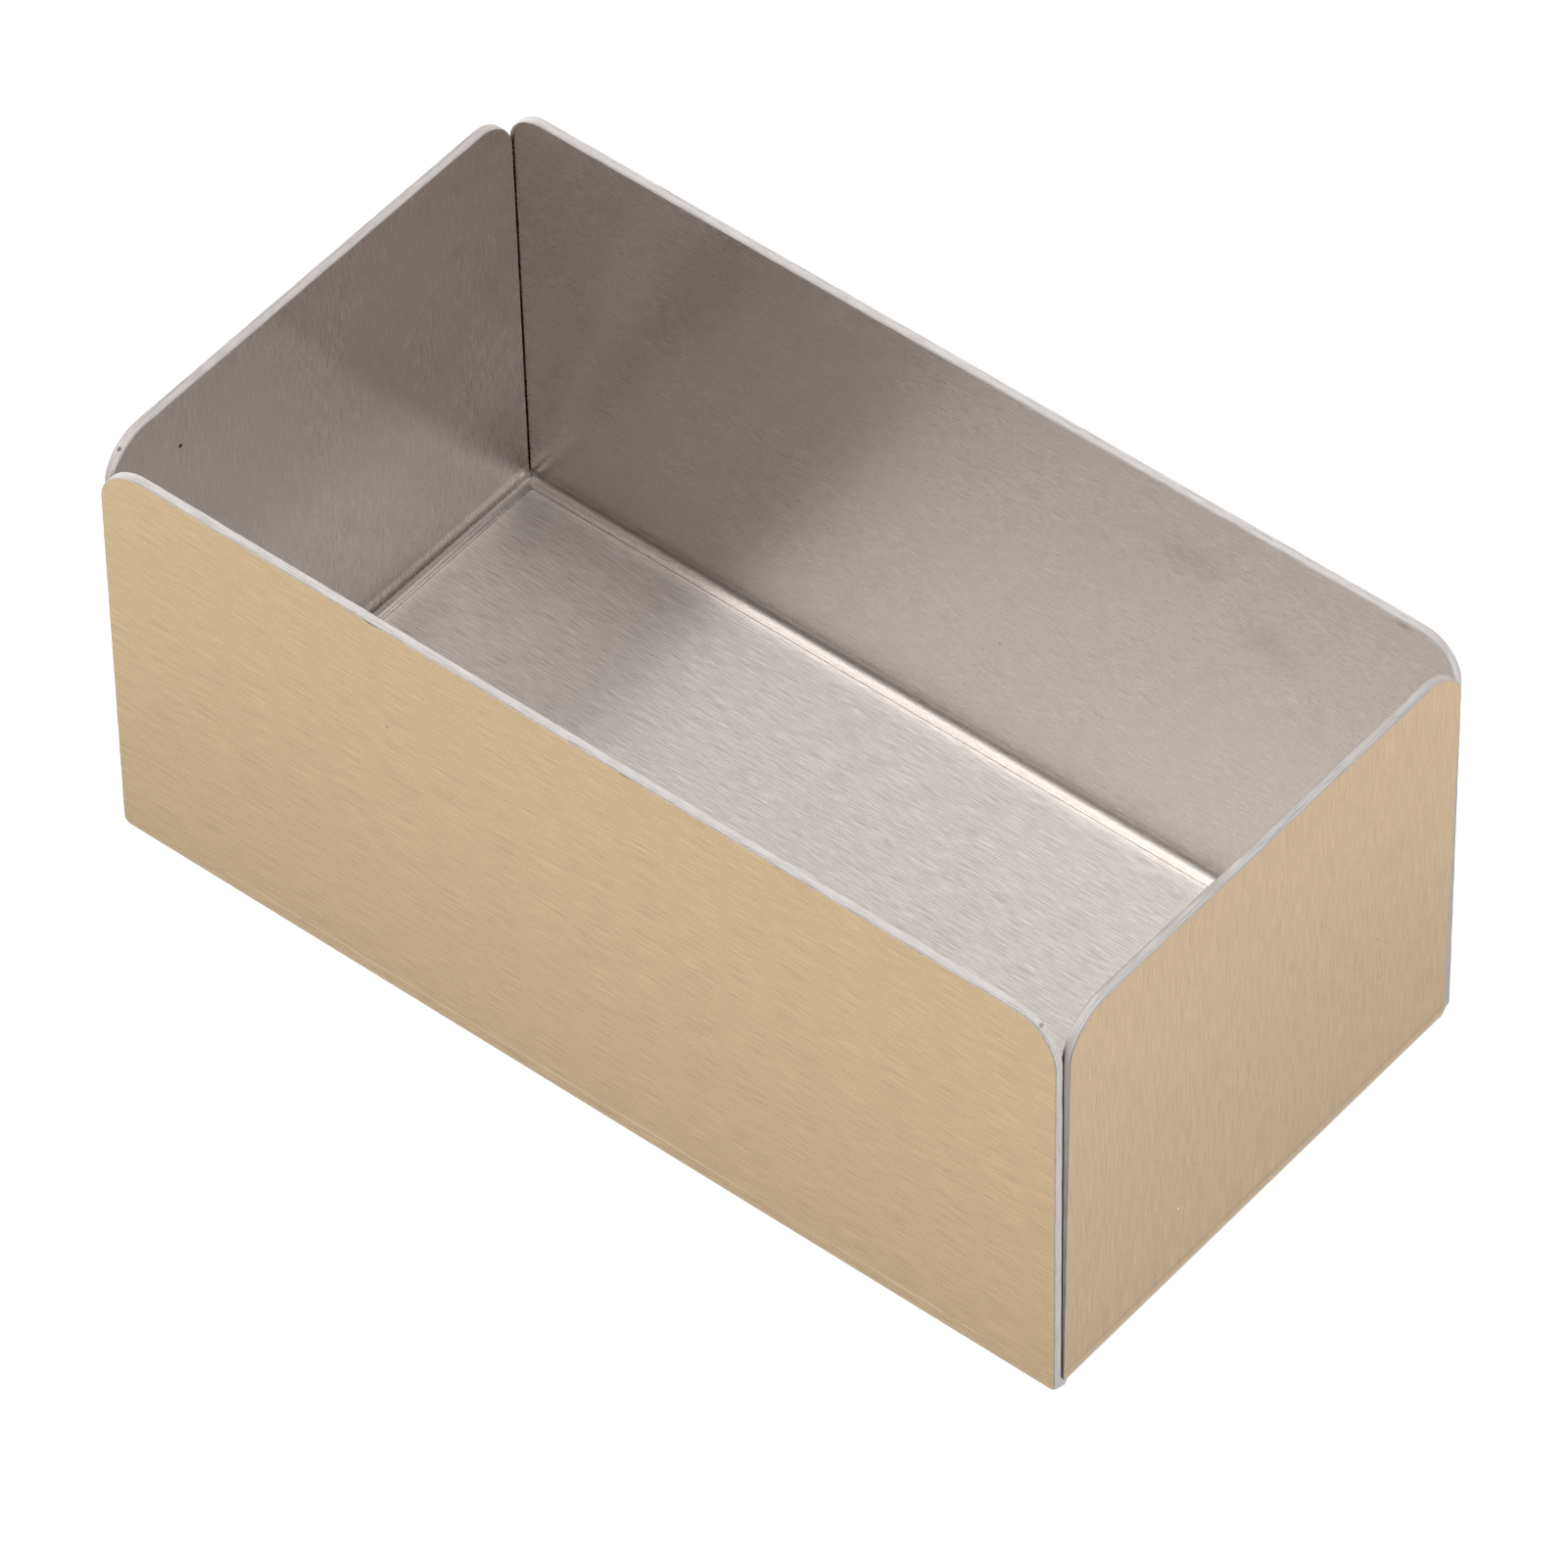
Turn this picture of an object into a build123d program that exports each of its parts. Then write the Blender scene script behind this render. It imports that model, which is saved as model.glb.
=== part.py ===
from build123d import *
import math
import os

# ---------------------------------------------------------------- dimensions
# Millimetres. X runs along the length, Y across the width, Z up.
# Origin: middle of the flat underside.
LENGTH = 127.0        # long walls, end to end; also foot to foot of the end walls
WIDTH = 67.4          # outer faces of the long walls
HEIGHT = 57.0         # underside to the top edges
SHEET = 1.2           # sheet thickness
BEND_RI = 1.0         # inside radius of the four bends
BEND_RO = BEND_RI + SHEET
TOP_R = 5.5           # rounded upper corners of every wall, seen face on
FOOT_R = 2.0          # rounded lower corners of every wall, seen face on
SEAM_GAP = 0.4        # open corner seam, end wall edge to long wall
END_OPEN_DEG = 0.72   # how far each end wall stands open from upright

HALF_L = LENGTH / 2
HALF_W = WIDTH / 2
END_HALF_W = HALF_W - SHEET - SEAM_GAP


# ---------------------------------------------------------------- sections
def wall_section(half, open_deg):
    """Section across one wall and its bend: first axis outward, second axis up."""
    cu, cv = half - BEND_RO, BEND_RO
    slope = math.tan(math.radians(open_deg))
    mid_deg = -(90.0 + open_deg) / 2

    def on_bend(radius, deg):
        a = math.radians(deg)
        return (cu + radius * math.cos(a), cv + radius * math.sin(a))

    out_end = on_bend(BEND_RO, -open_deg)
    in_end = on_bend(BEND_RI, -open_deg)
    out_top = (out_end[0] + (HEIGHT - out_end[1]) * slope, HEIGHT)
    in_top = (in_end[0] + (HEIGHT - in_end[1]) * slope, HEIGHT)
    with BuildSketch() as section:
        with BuildLine():
            ThreePointArc((cu, 0), on_bend(BEND_RO, mid_deg), out_end)
            Line(out_end, out_top)
            Line(out_top, in_top)
            Line(in_top, in_end)
            ThreePointArc(in_end, on_bend(BEND_RI, mid_deg), (cu, SHEET))
            Line((cu, SHEET), (cu, 0))
        make_face()
    return section.sketch


def wall_outline(half):
    """Face-on outline of one wall: rounded upper and lower corners."""
    with BuildSketch() as outline:
        Rectangle(2 * half, HEIGHT, align=(Align.CENTER, Align.MIN))
        fillet(outline.vertices().group_by(Axis.Y)[-1], TOP_R)
        fillet(outline.vertices().group_by(Axis.Y)[0], FOOT_R)
    return outline.sketch


def plan_prism(points):
    """Upright prism over a plan polygon, taller than the walls."""
    with BuildSketch() as plan:
        with BuildLine():
            Polyline(*points, close=True)
        make_face()
    return Pos(0, 0, -5) * extrude(plan.sketch, amount=HEIGHT + 10)


ACROSS = Plane(origin=(0, 0, 0), x_dir=(0, 1, 0), z_dir=(1, 0, 0))    # Y, Z
ALONG = Plane(origin=(0, 0, 0), x_dir=(1, 0, 0), z_dir=(0, -1, 0))    # X, Z


# ---------------------------------------------------------------- base panel
base_panel = Pos(0, 0, SHEET / 2) * Box(LENGTH - 2 * BEND_RO, WIDTH - 2 * BEND_RO, SHEET)

# ---------------------------------------------------------------- long walls
# The wall runs the full length. Its bend is mitred at each end, so that the
# end wall's bend can come up beside it.
long_bar = extrude(ACROSS * wall_section(HALF_W, 0.0), amount=HALF_L, both=True)
long_face = extrude(ALONG * wall_outline(HALF_L), amount=2 * WIDTH, both=True)
back_wall = long_bar & long_face
for side in (1, -1):
    back_wall = back_wall - plan_prism([
        (side * (HALF_L - BEND_RO), HALF_W - BEND_RO),
        (side * (HALF_L - SHEET), HALF_W - SHEET),
        (side * (HALF_L + 1), HALF_W - SHEET),
        (side * (HALF_L + 1), HALF_W - BEND_RO - 1),
        (side * (HALF_L - BEND_RO), HALF_W - BEND_RO - 1),
    ])
front_wall = Rot(0, 0, 180) * back_wall

# ---------------------------------------------------------------- end walls
# Each stands between the long walls with an open seam on both sides.
end_bar = extrude(ALONG * wall_section(HALF_L, END_OPEN_DEG), amount=END_HALF_W, both=True)
end_face = extrude(ACROSS * wall_outline(END_HALF_W), amount=2 * LENGTH, both=True)
right_end_wall = end_bar & end_face
for side in (1, -1):
    right_end_wall = right_end_wall - plan_prism([
        (HALF_L - BEND_RO - 1, side * (HALF_W - BEND_RO - SEAM_GAP)),
        (HALF_L - BEND_RO, side * (HALF_W - BEND_RO - SEAM_GAP)),
        (HALF_L - SHEET, side * END_HALF_W),
        (HALF_L - SHEET, side * (HALF_W + 1)),
        (HALF_L - BEND_RO - 1, side * (HALF_W + 1)),
    ])
left_end_wall = Rot(0, 0, 180) * right_end_wall

# ---------------------------------------------------------------- export
nodes = {
    "base_panel": base_panel,
    "front_wall": front_wall,
    "back_wall": back_wall,
    "left_end_wall": left_end_wall,
    "right_end_wall": right_end_wall,
}
os.makedirs("parts", exist_ok=True)
for name, shape in nodes.items():
    solid = shape.solids()[0] if len(shape.solids()) == 1 else shape
    solid.label = name
    export_step(solid, f"parts/{name}.step")
    box = solid.bounding_box()
    print(name, "solids", len(shape.solids()), "faces", len(solid.faces()), "volume", round(solid.volume, 1),
          "x", round(box.min.X, 2), round(box.max.X, 2),
          "y", round(box.min.Y, 2), round(box.max.Y, 2),
          "z", round(box.min.Z, 2), round(box.max.Z, 2))
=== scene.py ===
import bpy
import math
import numpy as np
from mathutils import Matrix, Vector


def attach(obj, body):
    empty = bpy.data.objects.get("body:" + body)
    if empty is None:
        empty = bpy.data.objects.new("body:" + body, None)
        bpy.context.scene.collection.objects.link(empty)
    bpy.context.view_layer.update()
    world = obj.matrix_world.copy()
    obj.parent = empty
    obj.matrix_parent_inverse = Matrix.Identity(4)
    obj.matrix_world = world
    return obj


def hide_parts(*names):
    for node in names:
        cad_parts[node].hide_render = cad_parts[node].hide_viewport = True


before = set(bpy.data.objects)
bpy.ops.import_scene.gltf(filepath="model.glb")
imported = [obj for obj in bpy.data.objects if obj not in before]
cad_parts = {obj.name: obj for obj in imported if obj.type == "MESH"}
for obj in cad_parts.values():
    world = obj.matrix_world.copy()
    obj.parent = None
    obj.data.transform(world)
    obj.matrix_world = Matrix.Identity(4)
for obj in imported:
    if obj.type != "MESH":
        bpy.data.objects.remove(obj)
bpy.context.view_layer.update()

# ------------------------------------------------------------------ sizes, mm
LENGTH, WIDTH, HEIGHT = 127.0, 67.4, 57.0
SHEET, RI = 1.2, 1.5
RO = RI + SHEET
HX, HY = LENGTH / 2, WIDTH / 2
OPEN = math.radians(0.72)     # the end walls stand open by this much
MM = 0.001

rng = np.random.default_rng(20)

# Cut edge of the sheet: (inset from the outline, depth from the outer face).
# A small broken corner on the gold side, the cut, a small break on the inner side.
EDGE = np.array([
    (0.130, 0.000), (0.112, 0.006), (0.072, 0.030), (0.036, 0.070), (0.012, 0.125), (0.003, 0.190), (0.000, 0.260),
    (0.000, 0.600), (0.000, 0.920), (0.010, 1.010), (0.034, 1.085), (0.078, 1.150), (0.140, 1.200)])
GOLD_RIM = 1          # the finish goes this many steps round the corner
NB = 29               # rows of the mesh round a bend
TURN_UP = 0.20        # slope of the base panel where a long bend begins
TURN_END = 0.06       # and where an end bend begins


class Sheet:
    """Collects patches of quads, then makes one closed mesh with given corner normals."""

    def __init__(self):
        self.co, self.no, self.uv, self.mat = [], [], [], []

    def grid(self, P, N, UV, mat):
        """P, N: (rows, cols, 3); UV: (rows, cols, 2). Faces are turned to agree with N."""
        def corners(A):
            return np.stack([A[:-1, :-1], A[:-1, 1:], A[1:, 1:], A[1:, :-1]], axis=2).reshape(-1, 4, A.shape[-1])
        p, n, t = corners(P), corners(N), corners(UV)
        g = np.cross(p[:, 2] - p[:, 0], p[:, 3] - p[:, 1])
        keep = np.linalg.norm(g, axis=1) > 1e-9
        p, n, t, g = p[keep], n[keep], t[keep], g[keep]
        back = np.einsum("ij,ij->i", g, n.mean(1)) < 0
        for a in (p, n, t):
            a[back] = a[back][:, ::-1]
        self.co.append(p), self.no.append(n), self.uv.append(t)
        self.mat.append(np.full(len(p), mat))

    def flat(self, P, mat):
        """A hidden joint face, shaded by its own geometry."""
        d1, d2 = P[1:, :-1] - P[:-1, :-1], P[:-1, 1:] - P[:-1, :-1]
        n = np.cross(d1, d2).reshape(-1, 3)
        n = n[np.linalg.norm(n, axis=1).argmax()]
        return np.broadcast_to(n / np.linalg.norm(n), P.shape).copy()

    def make(self, name, materials):
        co = np.concatenate(self.co)
        no = np.concatenate(self.no)
        uv = np.concatenate(self.uv)
        mat = np.concatenate(self.mat)
        key = np.round(co.reshape(-1, 3) * 1e5).astype(np.int64)
        _, first, inverse = np.unique(key, axis=0, return_index=True, return_inverse=True)
        verts = co.reshape(-1, 3)[first] * MM
        faces = inverse.reshape(-1, 4)
        mesh = bpy.data.meshes.new(name)
        mesh.from_pydata(verts.tolist(), [], [list(dict.fromkeys(f)) for f in faces.tolist()])
        mesh.polygons.foreach_set("material_index", mat.astype(np.int32))
        mesh.polygons.foreach_set("use_smooth", np.ones(len(faces), bool))
        layer = mesh.uv_layers.new(name="flat")
        loops_uv, loops_no = [], []
        for f, t, n in zip(faces.tolist(), uv, no):
            seen = []
            for k, v in enumerate(f):
                if v not in seen:
                    seen.append(v)
                    loops_uv.append(t[k])
                    loops_no.append(n[k])
        layer.data.foreach_set("uv", np.array(loops_uv, np.float32).ravel())
        loops_no = np.array(loops_no)
        loops_no /= np.linalg.norm(loops_no, axis=1, keepdims=True)
        for m in materials:
            mesh.materials.append(m)
        mesh.update()
        mesh.normals_split_custom_set(loops_no.tolist())
        ob = bpy.data.objects.new(name, mesh)
        bpy.context.scene.collection.objects.link(ob)
        return ob


def nicks(length, count, depth, rng):
    """Small dents along an edge: a function of the distance along it."""
    at = rng.uniform(0.03, 0.97, count) * length
    wide = rng.uniform(0.25, 0.9, count)
    deep = depth * rng.uniform(0.3, 1.0, count) ** 2

    def f(s):
        s = np.asarray(s)[..., None]
        return (deep * np.exp(-((s - at) / wide) ** 2)).sum(-1)
    return f


def wall(name, place, half, u_lo, u_hi, foot, lean, radii, bow, flat_uv, n_cols, node, materials, tag, short=0.0):
    """One wall with its bend.
    Sheet coordinates: u along the bend, v up the unfolded sheet from the base panel, h from the outer face inwards.
    place(u, o, z) puts along, outward and up into the model's frame."""
    turn = math.pi / 2 - lean
    v_bend = (RI + SHEET * 0.45) * turn
    straight = (HEIGHT - short - RO + RI * math.sin(lean)) / math.cos(lean)
    v_top = v_bend + straight
    r_lo, r_hi = radii

    def at(u, v, h):
        u, v, h = np.broadcast_arrays(np.asarray(u, float), np.asarray(v, float), np.asarray(h, float))
        phi = np.clip(v / v_bend, 0, 1) * turn
        s = np.maximum(v - v_bend, 0)
        # the outer side of the bend is tighter than a circle about the same middle
        full = 1 - 0.40 * (1 - h / SHEET) * np.clip((turn - phi) / turn * 8, 0, 1)
        r = RO - h
        o = half - RO + r * np.sin(phi) ** full + s * math.sin(lean)
        z = RO - r * np.maximum(np.cos(phi), 0) ** full + s * math.cos(lean)
        w = np.clip((z - RO) / (HEIGHT - RO), 0, 1)
        o = o - bow * w ** 1.5 * np.clip(1 - (u / max(u_hi, -u_lo)) ** 2, 0, 1)
        return np.stack(place(u, o, z), -1)

    def normal(u, v, h):
        e = 0.02
        du = at(u + e, v, h) - at(u - e, v, h)
        v0, v1 = np.maximum(v - e, 0), np.minimum(v + e, v_top)
        dv = at(u, v1, h) - at(u, v0, h)
        # on the joint line with the base panel the sheet is exactly level
        n = np.cross(du, dv)
        n /= np.linalg.norm(n, axis=-1, keepdims=True)
        dh = at(u, v, h + e) - at(u, v, h - e)
        n *= np.sign((n * dh).sum(-1, keepdims=True))
        level = np.broadcast_to(np.asarray(v) <= 1e-9, n.shape[:-1])
        n[level] = (0, 0, 1)
        # inside, the bend takes over the slope that the base panel ends with
        outward = np.subtract(place(0.0, 1.0, 0.0), place(0.0, 0.0, 0.0))
        flat = np.broadcast_to((np.asarray(h) > 0.9 * SHEET) & (np.asarray(v) < 0.4 * v_bend), n.shape[:-1])
        slope = TURN_END if lean else TURN_UP
        flat = flat & (-(n @ outward) < slope * n[..., 2])
        n[flat] = (np.array((0.0, 0.0, 1.0)) - slope * outward) / math.hypot(1.0, slope)
        return n, du / np.linalg.norm(du, axis=-1, keepdims=True), dv / np.linalg.norm(dv, axis=-1, keepdims=True)

    # rows of the grid, as angle round the bend, straight rise, then the corner arc
    rows = [("bend", a) for a in np.linspace(0, 1, NB)]
    rows += [("rise", a) for a in np.linspace(0, 1, 27)[1:]]
    rows += [("arc", a) for a in np.linspace(0, math.pi / 2, 19)[1:]]

    def side(kind, a, d, sign):
        r = r_hi if sign > 0 else r_lo
        edge = u_hi if sign > 0 else -u_lo
        if kind == "bend":
            v = a * v_bend
            u = edge - d - foot * max(0.0, 1 - a / 0.25) ** 0.8
        elif kind == "rise":
            v = v_bend + a * (straight - r)
            u = edge - d
        else:
            v = v_top - r + (r - d) * math.sin(a)
            u = edge - r + (r - d) * math.cos(a)
        return sign * u, v

    def outline(d):
        hi = np.array([side(k, a, d, 1) for k, a in rows])
        lo = np.array([side(k, a, d, -1) for k, a in rows])
        return hi, lo

    cols = np.linspace(0, 1, n_cols + 1)

    def face_rows(d):
        hi, lo = outline(d)
        u = lo[:, None, 0] + (hi[:, None, 0] - lo[:, None, 0]) * cols[None, :]
        v = lo[:, None, 1] + (hi[:, None, 1] - lo[:, None, 1]) * cols[None, :]
        return u, v

    sheet = Sheet()
    # the cut edge runs up one side, along the top and down the other
    u0, v0 = face_rows(0.0)

    def ring(d_along, h):
        """The outline as points in sheet coordinates, not inset; d_along and h are not used."""
        hi, lo = outline(0.0)
        top_u = hi[-1, 0] + (lo[-1, 0] - hi[-1, 0]) * np.linspace(0, 1, n_cols + 1)[1:-1]
        top = np.stack([top_u, np.full(len(top_u), v_top)], 1)
        return np.concatenate([hi, top, lo[::-1]])

    base = ring(0, 0)
    step = np.linalg.norm(np.diff(base, axis=0), axis=1)
    along = np.concatenate([[0], np.cumsum(step)])
    tang = np.gradient(base, along, axis=0)
    tang /= np.linalg.norm(tang, axis=1, keepdims=True)
    out2 = np.stack([tang[:, 1], -tang[:, 0]], 1)
    # exact outward direction on straight runs
    n_side = len(rows)
    hi_s = slice(NB, NB + 26)
    out2[hi_s] = (1, 0)
    out2[len(base) - NB - 26:len(base) - NB] = (-1, 0)
    out2[n_side - 1:len(base) - n_side + 1] = (0, 1)

    dent_out = nicks(along[-1], int(along[-1] / 7), 0.09, rng)(along)
    dent_in = nicks(along[-1], int(along[-1] / 9), 0.06, rng)(along)
    wave = 0.012 * np.sin(along * 0.9 + 1.3) + 0.008 * np.sin(along * 2.3)

    # the foot's corner is rounded off on the outer side
    tip = np.zeros(len(base))
    for i in range(NB):
        z = RO - RO * max(math.cos(turn * i / (NB - 1)), 0) ** 0.6
        tip[i] = tip[-1 - i] = (0.2 if lean else 0.6) * np.clip((1.8 - z) / 1.1, 0, 1) ** 1.4 * np.clip(i / (NB - 1) / 0.25, 0, 1)

    loops, loop_n = [], []
    seg = np.diff(EDGE, axis=0)
    seg_n = np.stack([-seg[:, 1], seg[:, 0]], 1)       # (towards the outline's inside, depth)
    seg_n = -seg_n / np.linalg.norm(seg_n, axis=1, keepdims=True)
    prof_n = np.concatenate([[(0, -1)], (seg_n[1:] + seg_n[:-1]) / 2, [(0, 1)]])
    # seg_n[:, 0] is the share along the outline's outward direction
    for k, (d, h) in enumerate(EDGE):
        fade_out = np.clip(1 - h / 0.45, 0, 1)
        fade_in = np.clip((h - 0.75) / 0.45, 0, 1)
        dd = np.full(len(base), d)
        if 0 < k < len(EDGE) - 1:
            dd = dd + dent_out * fade_out * 0.8 + dent_in * fade_in + np.maximum(wave, -d)
        else:
            dd = dd + (dent_out if k == 0 else dent_in) + wave
        dd = np.maximum(dd, 0) + tip * np.clip(1 - h / 0.6, 0, 1)
        q = base - out2 * dd[:, None]
        # hold the joint line with the base panel
        q[0, 1] = q[-1, 1] = 0.0
        P = at(q[:, 0], q[:, 1], np.full(len(q), h))
        nrm, eu, ev = normal(q[:, 0], np.maximum(q[:, 1], 1e-6), np.full(len(q), h))
        outward = out2[:, :1] * eu + out2[:, 1:] * ev
        N = prof_n[k, 0] * outward + prof_n[k, 1] * nrm
        loops.append((q, P)), loop_n.append(N)
    EP = np.stack([p for _, p in loops])
    EN = np.stack(loop_n)
    EQ = np.stack([q for q, _ in loops])
    mid = np.interp(0.0, -base[n_side - 1:len(base) - n_side + 1, 0], along[n_side - 1:len(base) - n_side + 1])
    # the edge's own coordinates: distance along it, zero at the middle of the top, and depth from the outer face
    EUV = np.stack(np.broadcast_arrays(tag + mid - along[None, :], EDGE[:, 1:] + 0 * along[None, :]), -1)
    k = GOLD_RIM
    sheet.grid(EP[:k + 1], EN[:k + 1], np.stack(flat_uv(EQ[:k + 1, :, 0], EQ[:k + 1, :, 1]), -1), 0)
    sheet.grid(EP[k:], EN[k:], EUV[k:], 2)

    # outer and inner faces end on the first and last loop of the cut edge
    def face(loop, h, sign, mat, d):
        q = loop
        hi, lo = q[:n_side], q[::-1][:n_side]
        top = q[n_side - 1:len(q) - n_side + 1][::-1]      # from lo to hi
        u = lo[:, None, 0] + (hi[:, None, 0] - lo[:, None, 0]) * cols[None, :]
        v = lo[:, None, 1] + (hi[:, None, 1] - lo[:, None, 1]) * cols[None, :]
        u[-1], v[-1] = top[:, 0], top[:, 1]
        P = at(u, v, np.full(u.shape, h))
        nrm, _, _ = normal(u, v, np.full(u.shape, h))
        sheet.grid(P, sign * nrm, np.stack(flat_uv(u, v), -1), mat)
        return P
    P_out = face(loops[0][0], 0.0, -1, 0, EDGE[0, 0])
    P_in = face(loops[-1][0], SHEET, 1, 1, EDGE[-1, 0])

    # the joint face against the base panel, with the ends of the cut edge
    row_out, row_in = P_out[0], P_in[0]
    J = np.stack([row_out, row_in])
    sheet.grid(J, sheet.flat(J, 1), np.zeros(J.shape[:2] + (2,)), 1)
    for col, mid in ((0, row_in[-1]), (-1, row_in[0])):
        chain = EP[:, col]
        J = np.stack([chain, np.repeat(chain[:1] * 0.5 + chain[-1:] * 0.5, len(chain), 0)])
        # closes the end of the joint face as a fan
        sheet.grid(J, sheet.flat(J, 1), np.zeros(J.shape[:2] + (2,)), 1)
    ob = sheet.make(name, materials)
    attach(ob, "root")
    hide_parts(node)
    return ob


def base_panel(materials):
    sheet = Sheet()
    near = np.linspace(0, 3, 9)
    x = np.concatenate([-(HX - RO) + near[:-1], np.linspace(-(HX - RO - 3), HX - RO - 3, 57), (HX - RO - near[:-1])[::-1]])
    y = np.concatenate([-(HY - RO) + near[:-1], np.linspace(-(HY - RO - 3), HY - RO - 3, 27), (HY - RO - near[:-1])[::-1]])
    X, Y = np.meshgrid(x, y)
    for z, mat, sign in ((0.0, 0, -1), (SHEET, 1, 1)):
        P = np.stack([X, Y, np.full(X.shape, z)], -1)
        N = np.broadcast_to((0.0, 0.0, float(sign)), P.shape).copy()
        if sign > 0:
            # level in the middle; turns up very slightly where the bends begin
            N[..., 0] = -TURN_END * np.sign(X) * np.clip(1 - (HX - RO - np.abs(X)) / 3.0, 0, 1) ** 2.5
            N[..., 1] = -TURN_UP * np.sign(Y) * np.clip(1 - (HY - RO - np.abs(Y)) / 3.0, 0, 1) ** 2.5
        sheet.grid(P, N, np.stack([X, Y], -1), mat)
    for a, fixed in ((0, x), (1, y)):
        for end in (0, -1):
            run = y if a == 0 else x
            P = np.zeros((2, len(run), 3))
            P[..., a] = fixed[end]
            P[..., 1 - a] = run
            P[1, :, 2] = SHEET
            N = np.zeros(P.shape)
            N[..., a] = -1 if end == 0 else 1
            sheet.grid(P, N, np.zeros(P.shape[:2] + (2,)), 1)
    ob = sheet.make("base_panel_sheet", materials)
    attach(ob, "root")
    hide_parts("base_panel")
    return ob


# ------------------------------------------------------------------ materials
BEND = (RI + SHEET * 0.45) * math.pi / 2      # length of a bend on the unfolded sheet


class Net:
    """Short hand for making shader nodes."""

    def __init__(self, tree):
        self.tree = tree

    def put(self, socket, value):
        if isinstance(value, bpy.types.NodeSocket):
            self.tree.links.new(value, socket)
        else:
            socket.default_value = value

    def math(self, op, a, b=0.0):
        n = self.tree.nodes.new("ShaderNodeMath")
        n.operation = op
        self.put(n.inputs[0], a)
        self.put(n.inputs[1], b)
        return n.outputs[0]

    def total(self, *terms):
        out = terms[0]
        for t in terms[1:]:
            out = self.math("ADD", out, t)
        return out

    def vec(self, op, a, b=(0.0, 0.0, 0.0), out="Vector"):
        n = self.tree.nodes.new("ShaderNodeVectorMath")
        n.operation = op
        self.put(n.inputs[0], a)
        self.put(n.inputs[1], b)
        return n.outputs[out]

    def scale(self, vector, factor):
        n = self.tree.nodes.new("ShaderNodeVectorMath")
        n.operation = "SCALE"
        self.put(n.inputs[0], vector)
        self.put(n.inputs["Scale"], factor)
        return n.outputs["Vector"]

    def step(self, x, lo, hi, to_lo=0.0, to_hi=1.0):
        n = self.tree.nodes.new("ShaderNodeMapRange")
        n.interpolation_type = "SMOOTHSTEP"
        self.put(n.inputs["Value"], x)
        n.inputs["From Min"].default_value, n.inputs["From Max"].default_value = lo, hi
        n.inputs["To Min"].default_value, n.inputs["To Max"].default_value = to_lo, to_hi
        return n.outputs["Result"]

    def noise(self, vector, stretch, detail=2.0, rough=0.5, shift=(0.0, 0.0)):
        """Noise about zero, roughly -0.5 to 0.5. stretch is cycles per millimetre along and across."""
        n = self.tree.nodes.new("ShaderNodeTexNoise")
        n.noise_dimensions = "2D"
        n.inputs["Scale"].default_value = 1.0
        n.inputs["Detail"].default_value = detail
        n.inputs["Roughness"].default_value = rough
        v = self.vec("MULTIPLY_ADD", vector, (stretch[0], stretch[1], 0.0))
        v.node.inputs[2].default_value = (shift[0], shift[1], 0.0)
        self.put(n.inputs["Vector"], v)
        return self.math("SUBTRACT", n.outputs["Fac"], 0.5)

    def mix(self, factor, a, b):
        n = self.tree.nodes.new("ShaderNodeMix")
        n.data_type = "RGBA"
        self.put(n.inputs[0], factor)
        self.put(n.inputs[6], (*a, 1.0) if isinstance(a, tuple) else a)
        self.put(n.inputs[7], (*b, 1.0) if isinstance(b, tuple) else b)
        return n.outputs[2]

    def spot(self, vector, u, v, hu, hv, soft):
        """1 inside an oval, fading to 0 over its outer part."""
        d = self.vec("MULTIPLY", self.vec("SUBTRACT", vector, (u, v, 0.0)), (1 / hu, 1 / hv, 0.0))
        return self.step(self.vec("LENGTH", d, out="Value"), 1.0 - soft, 1.0, 1.0, 0.0)


def metal(name, rough, aniso):
    m = bpy.data.materials.new(name)
    m.use_nodes = True
    net = Net(m.node_tree)
    p = m.node_tree.nodes["Principled BSDF"]
    p.inputs["Metallic"].default_value = 1.0
    p.inputs["Roughness"].default_value = rough
    p.inputs["Anisotropic"].default_value = aniso
    p.inputs["Anisotropic Rotation"].default_value = 0.25
    tan = m.node_tree.nodes.new("ShaderNodeTangent")
    tan.direction_type = "UV_MAP"
    tan.uv_map = "flat"
    net.put(p.inputs["Tangent"], tan.outputs["Tangent"])
    uv = m.node_tree.nodes.new("ShaderNodeUVMap")
    uv.uv_map = "flat"
    return m, net, p, uv.outputs["UV"]


def bump(net, p, height, microns):
    n = net.tree.nodes.new("ShaderNodeBump")
    n.inputs["Strength"].default_value = 1.0
    n.inputs["Distance"].default_value = microns * 1e-6
    net.put(n.inputs["Height"], height)
    net.put(p.inputs["Normal"], n.outputs["Normal"])


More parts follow.
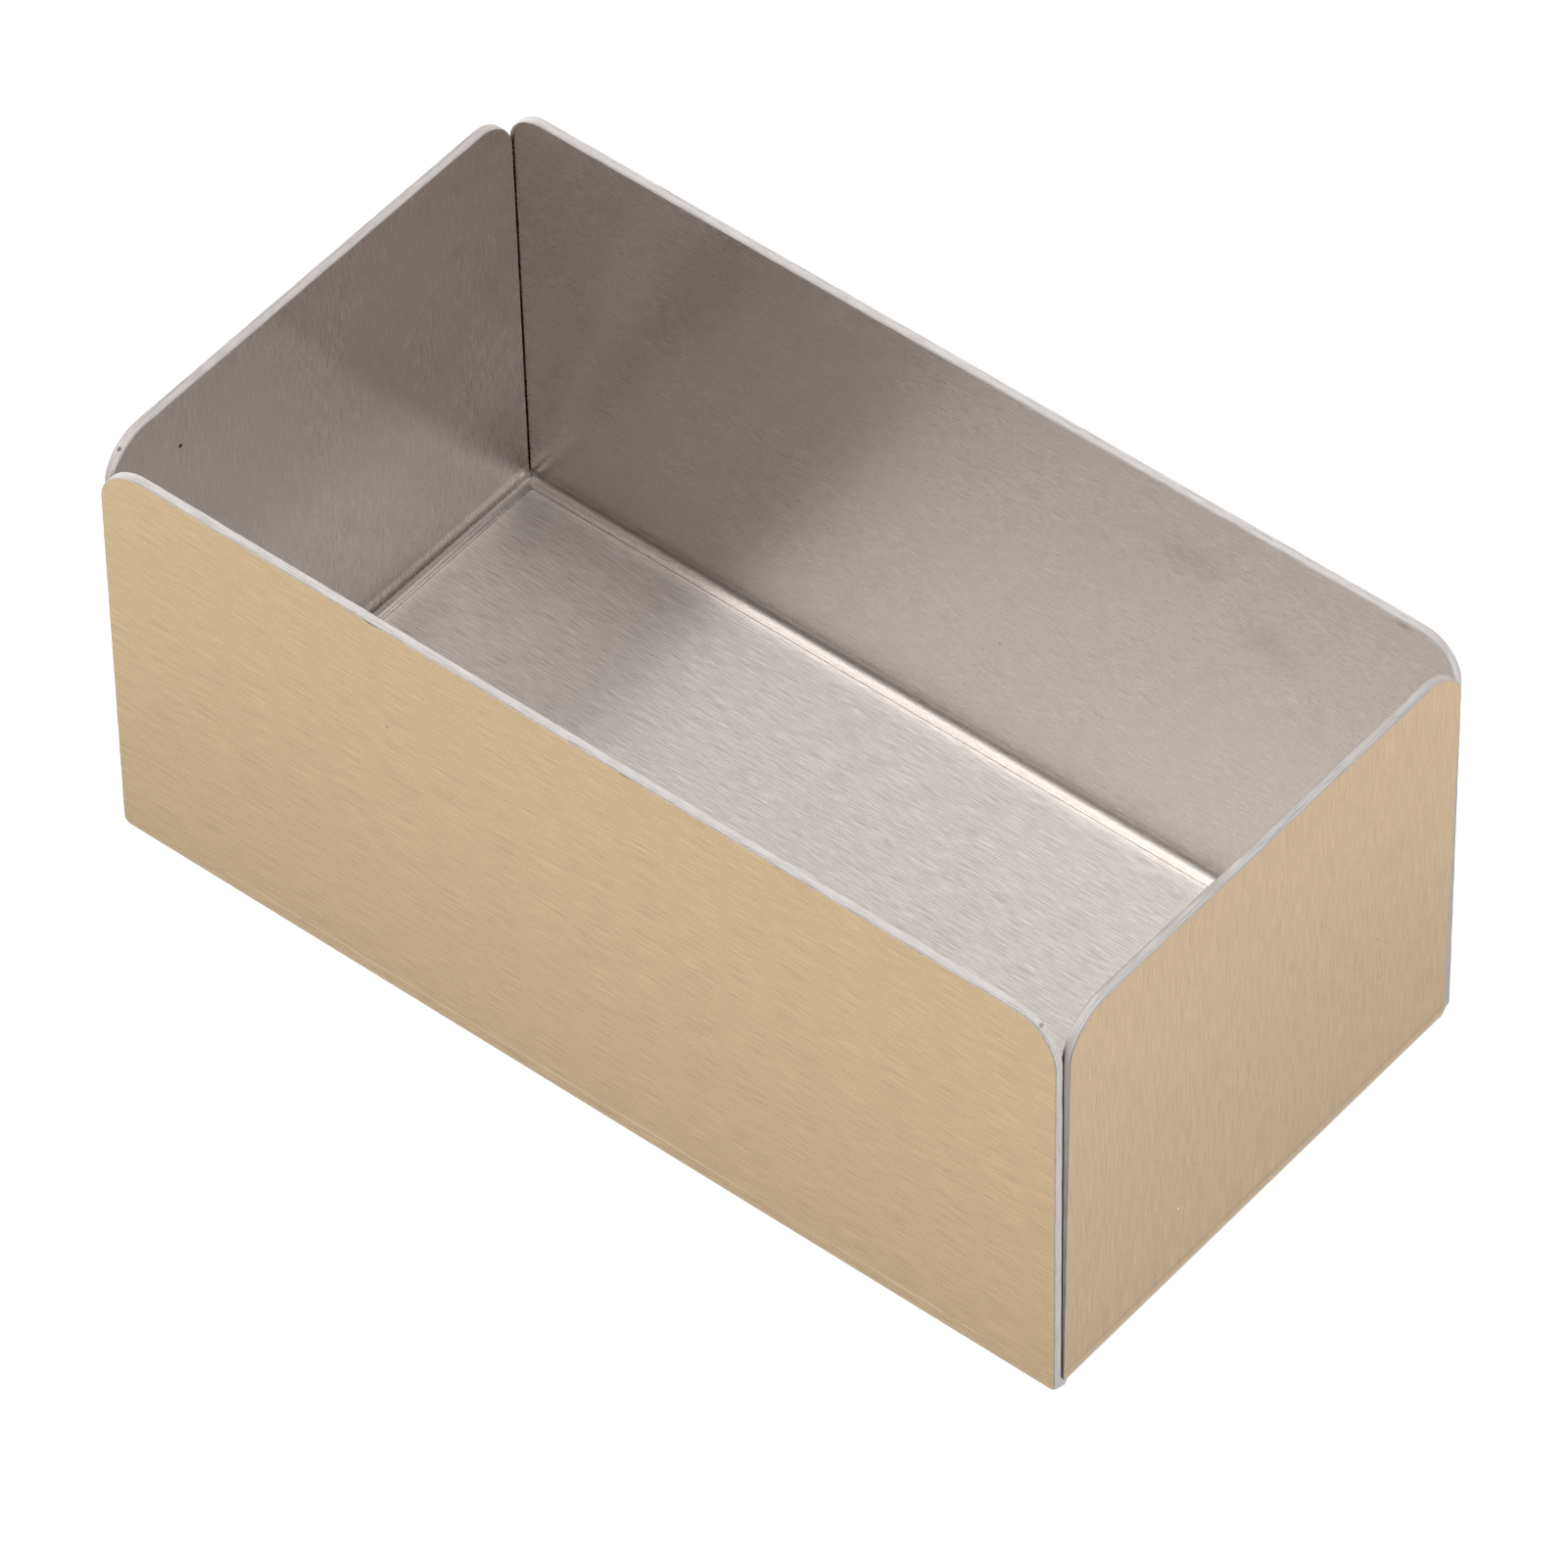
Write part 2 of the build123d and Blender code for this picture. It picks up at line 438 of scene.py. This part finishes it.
def brushed(name, colour, rough, aniso, axis, pitch, grain, lines, cloud, depth, marks=(), stains=(), line=0.0, seam=False, crease=None, level=False, wedge=False, foot_shade=None):
    """Sheet brushed along the blank's length. axis is the blank's axis that the bend crosses, or None on the flat base.
    pitch: strokes per millimetre along and across the brushing."""
    m, net, p, uv = metal(name, rough, aniso)
    g1 = net.noise(uv, pitch, 2.0, 0.65)
    g2 = net.noise(uv, (2.2 * pitch[0], 1.9 * pitch[1]), 1.0, 0.5, (5.3, 2.1))
    g3 = net.noise(uv, (0.018, 0.9), 2.0, 0.6, (7.3, 3.1))
    g4 = net.noise(uv, (0.030, 0.045), 2.0, 0.5, (1.7, 9.2))
    g5 = net.noise(uv, (3.1, 3.7), 1.0, 0.5, (2.9, 8.4))
    strokes = net.total(g1, net.math("MULTIPLY", g2, 0.8))
    sep = net.tree.nodes.new("ShaderNodeSeparateXYZ")
    net.put(sep.inputs[0], uv)
    t = None
    if axis is not None:
        half = (HX if axis == 0 else HY) - RO
        t = net.math("SUBTRACT", net.math("ABSOLUTE", sep.outputs[axis]), half)
    if wedge:
        # the strokes that cross a bend run out in it
        strokes = net.math("MULTIPLY", strokes, net.step(t, 2.0, 7.0, 0.20, 1.0))
    shade = net.total(1.0, net.math("MULTIPLY", strokes, grain), net.math("MULTIPLY", g3, lines),
                      net.math("MULTIPLY", g4, cloud), net.math("MULTIPLY", g5, 0.18))
    r = net.total(rough, net.math("MULTIPLY", strokes, 0.02), net.math("MULTIPLY", g4, 0.03))
    for u, v, hu, hv, soft, amount in marks:
        shade = net.math("MULTIPLY", shade, net.math("SUBTRACT", 1.0, net.math("MULTIPLY", net.spot(uv, u, v, hu, hv, soft), amount)))
    if seam:
        # painted shade on the strip that the end of the end wall stands against, inside the open corner seam
        x = net.math("ABSOLUTE", sep.outputs[0])
        x = net.math("SUBTRACT", x, net.math("MULTIPLY", net.math("MAXIMUM", net.math("SUBTRACT", t, 0.5), 0.0), math.tan(OPEN)))
        seam_shade = net.math("MULTIPLY", net.step(x, HX - SHEET, HX - SHEET + 0.08), net.step(x, HX - 0.55, HX - 0.40, 1.0, 0.0))
        seam_shade = net.math("MULTIPLY", seam_shade, net.math("MULTIPLY", net.step(t, 0.8, 2.0), net.step(t, 48.7, 52.2, 1.0, 0.0)))
        shade = net.math("MULTIPLY", shade, net.math("SUBTRACT", 1.0, net.math("MULTIPLY", seam_shade, 0.60)))
        # tone fitted to the photo's light: a little brighter towards one end
        shade = net.math("MULTIPLY", shade, net.step(sep.outputs[0], -30.0, 55.0, 0.965, 1.065))
    if crease:
        # painted highlights and painted shade along the bend: light and dark lines that stand for the reflections
        # there; tone along the bend, fitted to the light and dark lines that the photo shows there
        for at, wide, amount in crease:
            near = net.step(net.math("ABSOLUTE", net.math("SUBTRACT", t, at)), 0.3 * wide, wide, 1.0, 0.0)
            vary = net.total(1.0, net.math("MULTIPLY", net.noise(uv, (0.10, 0.10), 2.0, 0.6, (at, 4.4)), 0.8))
            shade = net.math("MULTIPLY", shade, net.total(1.0, net.math("MULTIPLY", net.math("MULTIPLY", near, vary), amount)))
    if wedge:
        # tone fitted to the photo's light: darker towards the foot, brighter towards the top, and on one wall
        # a faint slanting edge that stands for the reflection of the floor's edge
        shade = net.math("MULTIPLY", shade, net.total(1.0, net.step(t, 8.0, 24.0, -0.11, -0.02), net.step(t, 32.0, 50.0, 0.0, 0.10)))
        s = net.math("MULTIPLY", net.math("SUBTRACT", net.math("MULTIPLY", net.math("SUBTRACT", 32.8, sep.outputs[1]), 1.432), t), 0.573)
        below = net.math("MULTIPLY", net.step(s, -1.2, 1.2), net.step(s, 2.0, 15.0, 1.0, 0.0))
        above = net.math("MULTIPLY", net.step(s, -14.0, -1.2), net.step(s, -1.2, 1.2, 1.0, 0.0))
        tone = net.total(net.math("MULTIPLY", below, 0.10), net.math("MULTIPLY", above, -0.04))
        shade = net.math("MULTIPLY", shade, net.total(1.0, net.math("MULTIPLY", tone, net.step(sep.outputs[0], -1.0, 1.0, 1.0, 0.0))))
    if level:
        # tone fitted to the photo's light: by steps along the floor, and brighter beside the bends
        shade = net.math("MULTIPLY", shade, net.total(1.0, net.step(sep.outputs[0], -48.0, -36.0, 0.16, -0.05), net.step(sep.outputs[0], -28.0, -14.0, 0.0, 0.04),
                                                      net.step(net.math("ABSOLUTE", sep.outputs[1]), 18.0, 30.0, 0.0, 0.015), net.step(net.math("ABSOLUTE", sep.outputs[1]), 30.2, 31.0, 0.0, 0.13), net.step(net.math("ABSOLUTE", sep.outputs[1]), 30.75, 30.95, 0.0, 0.06),
                                                      net.step(net.math("ABSOLUTE", sep.outputs[0]), 60.4, 60.75, 0.0, 0.08)))
    col = net.scale(colour, shade)
    if foot_shade:
        # painted shade: a greyer band round the outside of the bend at the foot, standing for the table's shadow
        # reflected there
        col = net.mix(net.step(t, 2.55, 3.05, 0.7, 0.0), col, foot_shade)
    for u, v, hu, hv, tint, amount in stains:
        blot = net.math("MULTIPLY", net.spot(uv, u, v, hu, hv, 0.95), net.math("ADD", 0.75, net.noise(uv, (0.35, 0.5), 3.0, 0.6, (u, v))))
        col = net.mix(net.math("MULTIPLY", blot, amount), col, tint)
    if line:
        # rubbed line that the bending tool left in the finish, just above the bend, broken near the corners
        near = net.step(net.math("ABSOLUTE", net.math("SUBTRACT", t, BEND + 0.27)), 0.03, 0.11, 1.0, 0.0)
        along = net.tree.nodes.new("ShaderNodeCombineXYZ")
        net.put(along.inputs[0], sep.outputs[1 - axis])
        far = net.step(net.math("ABSOLUTE", sep.outputs[1 - axis]), 40.0, 62.0, 0.22, -0.12)
        here = net.step(net.total(net.noise(along.outputs[0], (0.35, 1.0), 2.0, 0.6), far), -0.03, 0.06)
        patch = net.step(net.noise(along.outputs[0], (0.05, 1.0), 1.0, 0.5, (3.0, 0.0)), -0.25, 0.15, 0.35, 1.0)
        hit = net.math("MULTIPLY", net.math("MULTIPLY", near, here), patch)
        col = net.mix(net.math("MULTIPLY", hit, line), col, (0.74, 0.61, 0.45))
    net.put(p.inputs["Base Color"], col)
    net.put(p.inputs["Roughness"], r)
    bump(net, p, strokes, depth)
    return m


def cut_edge(name, colour, rough, arc, seam, marks=()):
    """Sheared and deburred edge: fine lines along it, a faint wandering shear line, duller where it runs up and down.
    arc: where the rounded corner starts and ends, as distance from the middle of the top."""
    m, net, p, uv = metal(name, rough, 0.0)
    p.inputs["Metallic"].default_value = 0.30
    sep = net.tree.nodes.new("ShaderNodeSeparateXYZ")
    net.put(sep.inputs[0], uv)
    h = sep.outputs[1]
    # distance from the middle of the top, without the wall's own tag
    u = net.math("SUBTRACT", sep.outputs[0], net.math("MULTIPLY", net.math("ROUND", net.math("DIVIDE", sep.outputs[0], 400.0)), 400.0))
    far = net.math("ABSOLUTE", u)
    g1 = net.noise(uv, (0.30, 6.5), 2.0, 0.7)
    g2 = net.noise(uv, (0.30, 0.9), 3.0, 0.65, (4.0, 2.0))
    drift = net.noise(uv, (0.06, 0.0), 2.0, 0.5, (8.0, 5.0))
    f = net.math("FRACT", net.total(net.math("MULTIPLY", sep.outputs[0], 0.085), net.math("MULTIPLY", drift, 1.6)))
    at = net.total(0.22, net.math("MULTIPLY", f, 0.26), net.math("MULTIPLY", net.noise(uv, (0.7, 0.0), 2.0, 0.6), 0.10))
    off = net.math("ABSOLUTE", net.math("SUBTRACT", h, at))
    dark = net.math("MULTIPLY", net.step(off, 0.02, 0.08, 1.0, 0.0), net.step(net.noise(uv, (0.11, 0.0), 2.0, 0.5, (2.0, 6.0)), -0.15, 0.15, 0.0, 0.30))
    shade = net.total(1.0, net.math("MULTIPLY", g1, 0.60), net.math("MULTIPLY", g2, 0.26))
    shade = net.math("MULTIPLY", shade, net.math("SUBTRACT", 1.0, dark))
    # the broken corner next to the finish is dull
    shade = net.math("MULTIPLY", shade, net.step(h, 0.02, 0.11, 0.80, 1.0))
    shade = net.math("MULTIPLY", shade, net.step(far, arc[0] + 3.0, arc[1], 1.0, 0.57))
    if seam:
        # painted shade inside the corner seam, below the line where the leaning wall clears the long wall's end
        rise = net.math("SUBTRACT", arc[1] + HEIGHT - 5.8, far)
        deep = net.step(net.math("SUBTRACT", h, net.math("MULTIPLY", rise, math.tan(OPEN))), 0.0, 0.22)
        shade = net.math("MULTIPLY", shade, net.math("SUBTRACT", 1.0, net.math("MULTIPLY", net.math("MULTIPLY", deep, net.step(far, arc[1] - 3.0, arc[1])), 0.90)))
    for mu, mh, hu, hv, soft, amount in marks:
        shade = net.math("MULTIPLY", shade, net.math("SUBTRACT", 1.0, net.math("MULTIPLY", net.spot(uv, mu, mh, hu, hv, soft), amount)))
    net.put(p.inputs["Base Color"], net.scale(colour, shade))
    net.put(p.inputs["Roughness"], net.total(rough, net.math("MULTIPLY", g2, 0.15)))
    bump(net, p, net.total(g1, g2), 4.0)
    return m


STEEL, STEEL_WALL = (0.768, 0.735, 0.712), (0.782, 0.725, 0.684)
# the end walls' gold is the same coating as the long walls', painted a little darker and cooler as shade
GOLD, GOLD_END_SHADED = (0.504, 0.377, 0.227), (0.465, 0.343, 0.214)
steel_base = brushed("steel_brushed_base", STEEL, 0.32, 1.0, None, (0.22, 7.4), 0.78, 0.05, 0.05, 0.6, level=True)
steel_long = brushed("steel_brushed_long", STEEL_WALL, 0.27, 0.95, 1, (0.32, 7.0), 0.43, 0.03, 0.04, 0.3, seam=True,
                     crease=[(0.0, 0.25, 0.07), (0.15, 0.45, 0.20), (0.80, 0.45, -0.15), (1.45, 0.50, 0.20), (2.35, 0.45, -0.20), (4.20, 1.50, 0.06)],
                     marks=[(28.8, 79.77, 6.5, 4.6, 0.95, 0.12), (39.4, 73.17, 7.0, 5.0, 0.95, 0.10), (3.5, 49.72, 0.28, 0.28, 0.5, 0.30),
                            (12.9, 35.72, 0.45, 0.2, 0.6, 0.25), (17.8, 36.77, 0.45, 0.22, 0.6, 0.25), (56.4, 87.87, 1.6, 0.6, 0.9, 0.30),
                            (-52.40, 57.07, 0.17, 0.17, 0.6, -0.70), (-52.05, 57.62, 0.13, 0.13, 0.6, 0.50),
                            (-44.41, 58.89, 0.10, 0.10, 0.6, -0.60), (-47.30, 52.97, 0.10, 0.10, 0.6, -0.50)],
                     stains=[(44.0, 77.57, 5.0, 4.0, (0.80, 0.73, 0.69), 0.35), (43.0, 71.57, 4.0, 3.0, (0.80, 0.73, 0.69), 0.3)])
steel_end = brushed("steel_brushed_end", STEEL_WALL, 0.27, 0.95, 0, (0.26, 7.5), 0.38, 0.02, 0.04, 0.3, wedge=True,
                    crease=[(0.15, 0.45, 0.36), (1.72, 0.38, -0.20), (2.15, 0.45, -0.14), (3.30, 0.75, 0.50)],
                    marks=[(-111.06, -21.8, 0.32, 0.32, 0.30, 0.98), (-94.97, -15.8, 0.30, 0.22, 0.6, -0.35)])
gold_long = brushed("gold_brushed_long", GOLD, 0.42, 0.8, 1, (0.15, 8.0), 0.54, 0.04, 0.015, 0.3,
                    marks=[(-24.7, -73.77, 0.32, 0.26, 0.6, 0.35)], line=0.8)
gold_end = brushed("gold_brushed_end", GOLD_END_SHADED, 0.42, 0.8, 0, (0.16, 6.6), 0.43, 0.06, 0.02, 0.3, crease=[(3.28, 0.26, -0.13)], foot_shade=(0.50, 0.43, 0.345),
                   marks=[(85.77, 19.70, 0.17, 0.17, 0.5, 0.60), (79.29, 20.37, 0.15, 0.15, 0.5, 0.60), (68.94, -26.08, 0.13, 0.13, 0.5, 0.55),
                          (72.97, -13.36, 0.22, 0.14, 0.5, -1.20), (66.04, -17.54, 0.17, 0.10, 0.5, -0.80)])
gold_base = brushed("gold_brushed_base", GOLD, 0.42, 0.8, None, (0.15, 8.0), 0.54, 0.04, 0.015, 0.3)
edge_long = cut_edge("steel_cut_edge_long", (1.0, 0.945, 0.915), 0.60, (57.7, 66.8), False,
                     marks=[(60.55, 0.60, 0.35, 0.5, 0.6, -0.20), (61.25, 0.75, 0.30, 0.45, 0.6, 0.45), (492.0, 0.60, 28.0, 3.0, 0.3, 0.26)])
# the end walls' cut edge is the same steel as the long walls', painted darker as shade
edge_end = cut_edge("steel_cut_edge_end", (0.84, 0.785, 0.76), 0.60, (26.3, 35.4), True, marks=[(1169.4, 0.62, 0.35, 0.3, 0.5, 0.7)])
mats_long, mats_end, mats_base = [gold_long, steel_long, edge_long], [gold_end, steel_end, edge_end], [gold_base, steel_base, edge_long]

# ------------------------------------------------------------------ the sheet
GAP_NEAR, GAP, GAP_FAR = 0.26, 0.05, 0.10
wall("front_wall_sheet", lambda u, o, z: (u, -o, z), HY, -HX, HX, RO, 0.0, (5.8, 5.8), 0.03,
     lambda u, v: (u, -(HY - RO) - v), 160, "front_wall", mats_long, 0.0, 0.06)
wall("back_wall_sheet", lambda u, o, z: (u, o, z), HY, -HX, HX - 0.25, RO - 0.25, 0.0, (4.5, 5.2), 0.0,
     lambda u, v: (u, (HY - RO) + v), 160, "back_wall", mats_long, 400.0)
wall("right_end_wall_sheet", lambda u, o, z: (o, u, z), HX, -(HY - SHEET - GAP_NEAR), HY - SHEET - GAP_FAR, RI, OPEN,
     (6.0, 5.8), 0.0, lambda u, v: ((HX - RO) + v, u), 84, "right_end_wall", mats_end, 800.0, 0.22)
wall("left_end_wall_sheet", lambda u, o, z: (-o, u, z), HX, -(HY - SHEET - GAP), HY - SHEET - GAP, RI, OPEN,
     (5.6, 5.2), 0.0, lambda u, v: (-(HX - RO) - v, u), 84, "left_end_wall", mats_end, 1200.0)
base_panel(mats_base)

# ------------------------------------------------------------------ floor, light
# A bright white table that glows, with painted shadow: its glow falls off a little towards the foot of the walls.
floor_mesh = bpy.data.meshes.new("floor")
floor_mesh.from_pydata([(-4, -4, 0), (4, -4, 0), (4, 4, 0), (-4, 4, 0)], [], [(0, 1, 2, 3)])
floor = bpy.data.objects.new("floor", floor_mesh)
floor.location.z = -0.0001
bpy.context.scene.collection.objects.link(floor)
fm = bpy.data.materials.new("floor_white")
fm.use_nodes = True
fp = fm.node_tree.nodes["Principled BSDF"]
fp.inputs["Base Color"].default_value = (0.02, 0.02, 0.02, 1)
fp.inputs["Roughness"].default_value = 0.9
fp.inputs["Specular IOR Level"].default_value = 0.0
fp.inputs["Emission Color"].default_value = (1, 1, 1, 1)
net = Net(fm.node_tree)
co = fm.node_tree.nodes.new("ShaderNodeTexCoord").outputs["Object"]
away = net.vec("MAXIMUM", net.vec("SUBTRACT", net.vec("ABSOLUTE", co), (HX * MM, HY * MM, 1.0)))
away = net.vec("LENGTH", away, out="Value")
net.put(fp.inputs["Emission Strength"],
        net.math("SUBTRACT", 1.70, net.math("MULTIPLY", net.math("EXPONENT", net.math("MULTIPLY", away, -1 / 0.075)), 0.645)))
floor_mesh.materials.append(fm)

# White studio, dark behind the right end, with soft boxes and a dark stand: azimuth, elevation, tightness, strength.
SOFT = [(29.5, 21.4, 2.87, -2.489), (215.8, 67.1, 22.14, 2.428), (8.0, 70.6, 25.0, 3.932), (332.3, 30.4, 24.16, 1.967),
        (296.6, 67.9, 15.67, -2.018), (212.3, 38.0, 13.05, -0.694), (35.0, 7.0, 10.0, 2.2)]
world = bpy.data.worlds.new("studio")
bpy.context.scene.world = world
world.use_nodes = True
bg = world.node_tree.nodes["Background"]
bg.inputs["Color"].default_value = (1, 1, 1, 1)
net = Net(world.node_tree)
way = net.vec("NORMALIZE", world.node_tree.nodes.new("ShaderNodeTexCoord").outputs["Generated"])
level = 0.838
for azimuth, elevation, tight, strength in SOFT:
    az, el = math.radians(azimuth), math.radians(elevation)
    facing = net.vec("DOT_PRODUCT", way, (math.cos(el) * math.cos(az), math.cos(el) * math.sin(az), math.sin(el)), out="Value")
    lobe = net.math("EXPONENT", net.math("MULTIPLY", net.math("SUBTRACT", facing, 1.0), tight))
    level = net.math("ADD", net.math("MULTIPLY", lobe, strength), level)
net.put(bg.inputs["Strength"], net.math("MAXIMUM", level, 0.03))

# ------------------------------------------------------------------ camera
AZ, EL, ROLL = 39.9761, 47.6844, -1.0238
FOCAL_PX = 13288.8
a, e, r = (math.radians(x) for x in (AZ, EL, ROLL))
back = Vector((math.sin(a) * math.cos(e), -math.cos(a) * math.cos(e), math.sin(e)))
right = Vector((math.cos(a), math.sin(a), 0))
up = back.cross(right)
right, up = right * math.cos(r) + up * math.sin(r), up * math.cos(r) - right * math.sin(r)
cam_data = bpy.data.cameras.new("camera")
cam_data.sensor_width = 36.0
cam_data.lens = 36.0 * FOCAL_PX / 1601
cam_data.clip_start, cam_data.clip_end = 0.05, 50
cam = bpy.data.objects.new("camera", cam_data)
bpy.context.scene.collection.objects.link(cam)
cam.matrix_world = Matrix(((right.x, up.x, back.x, 4.6592 * 0.127), (right.y, up.y, back.y, -5.5532 * 0.127),
                           (right.z, up.z, back.z, 8.1341 * 0.127 - 0.00033), (0, 0, 0, 1)))
bpy.context.scene.camera = cam

view = bpy.context.scene.view_settings
view.view_transform = "Standard"
view.look = "None"
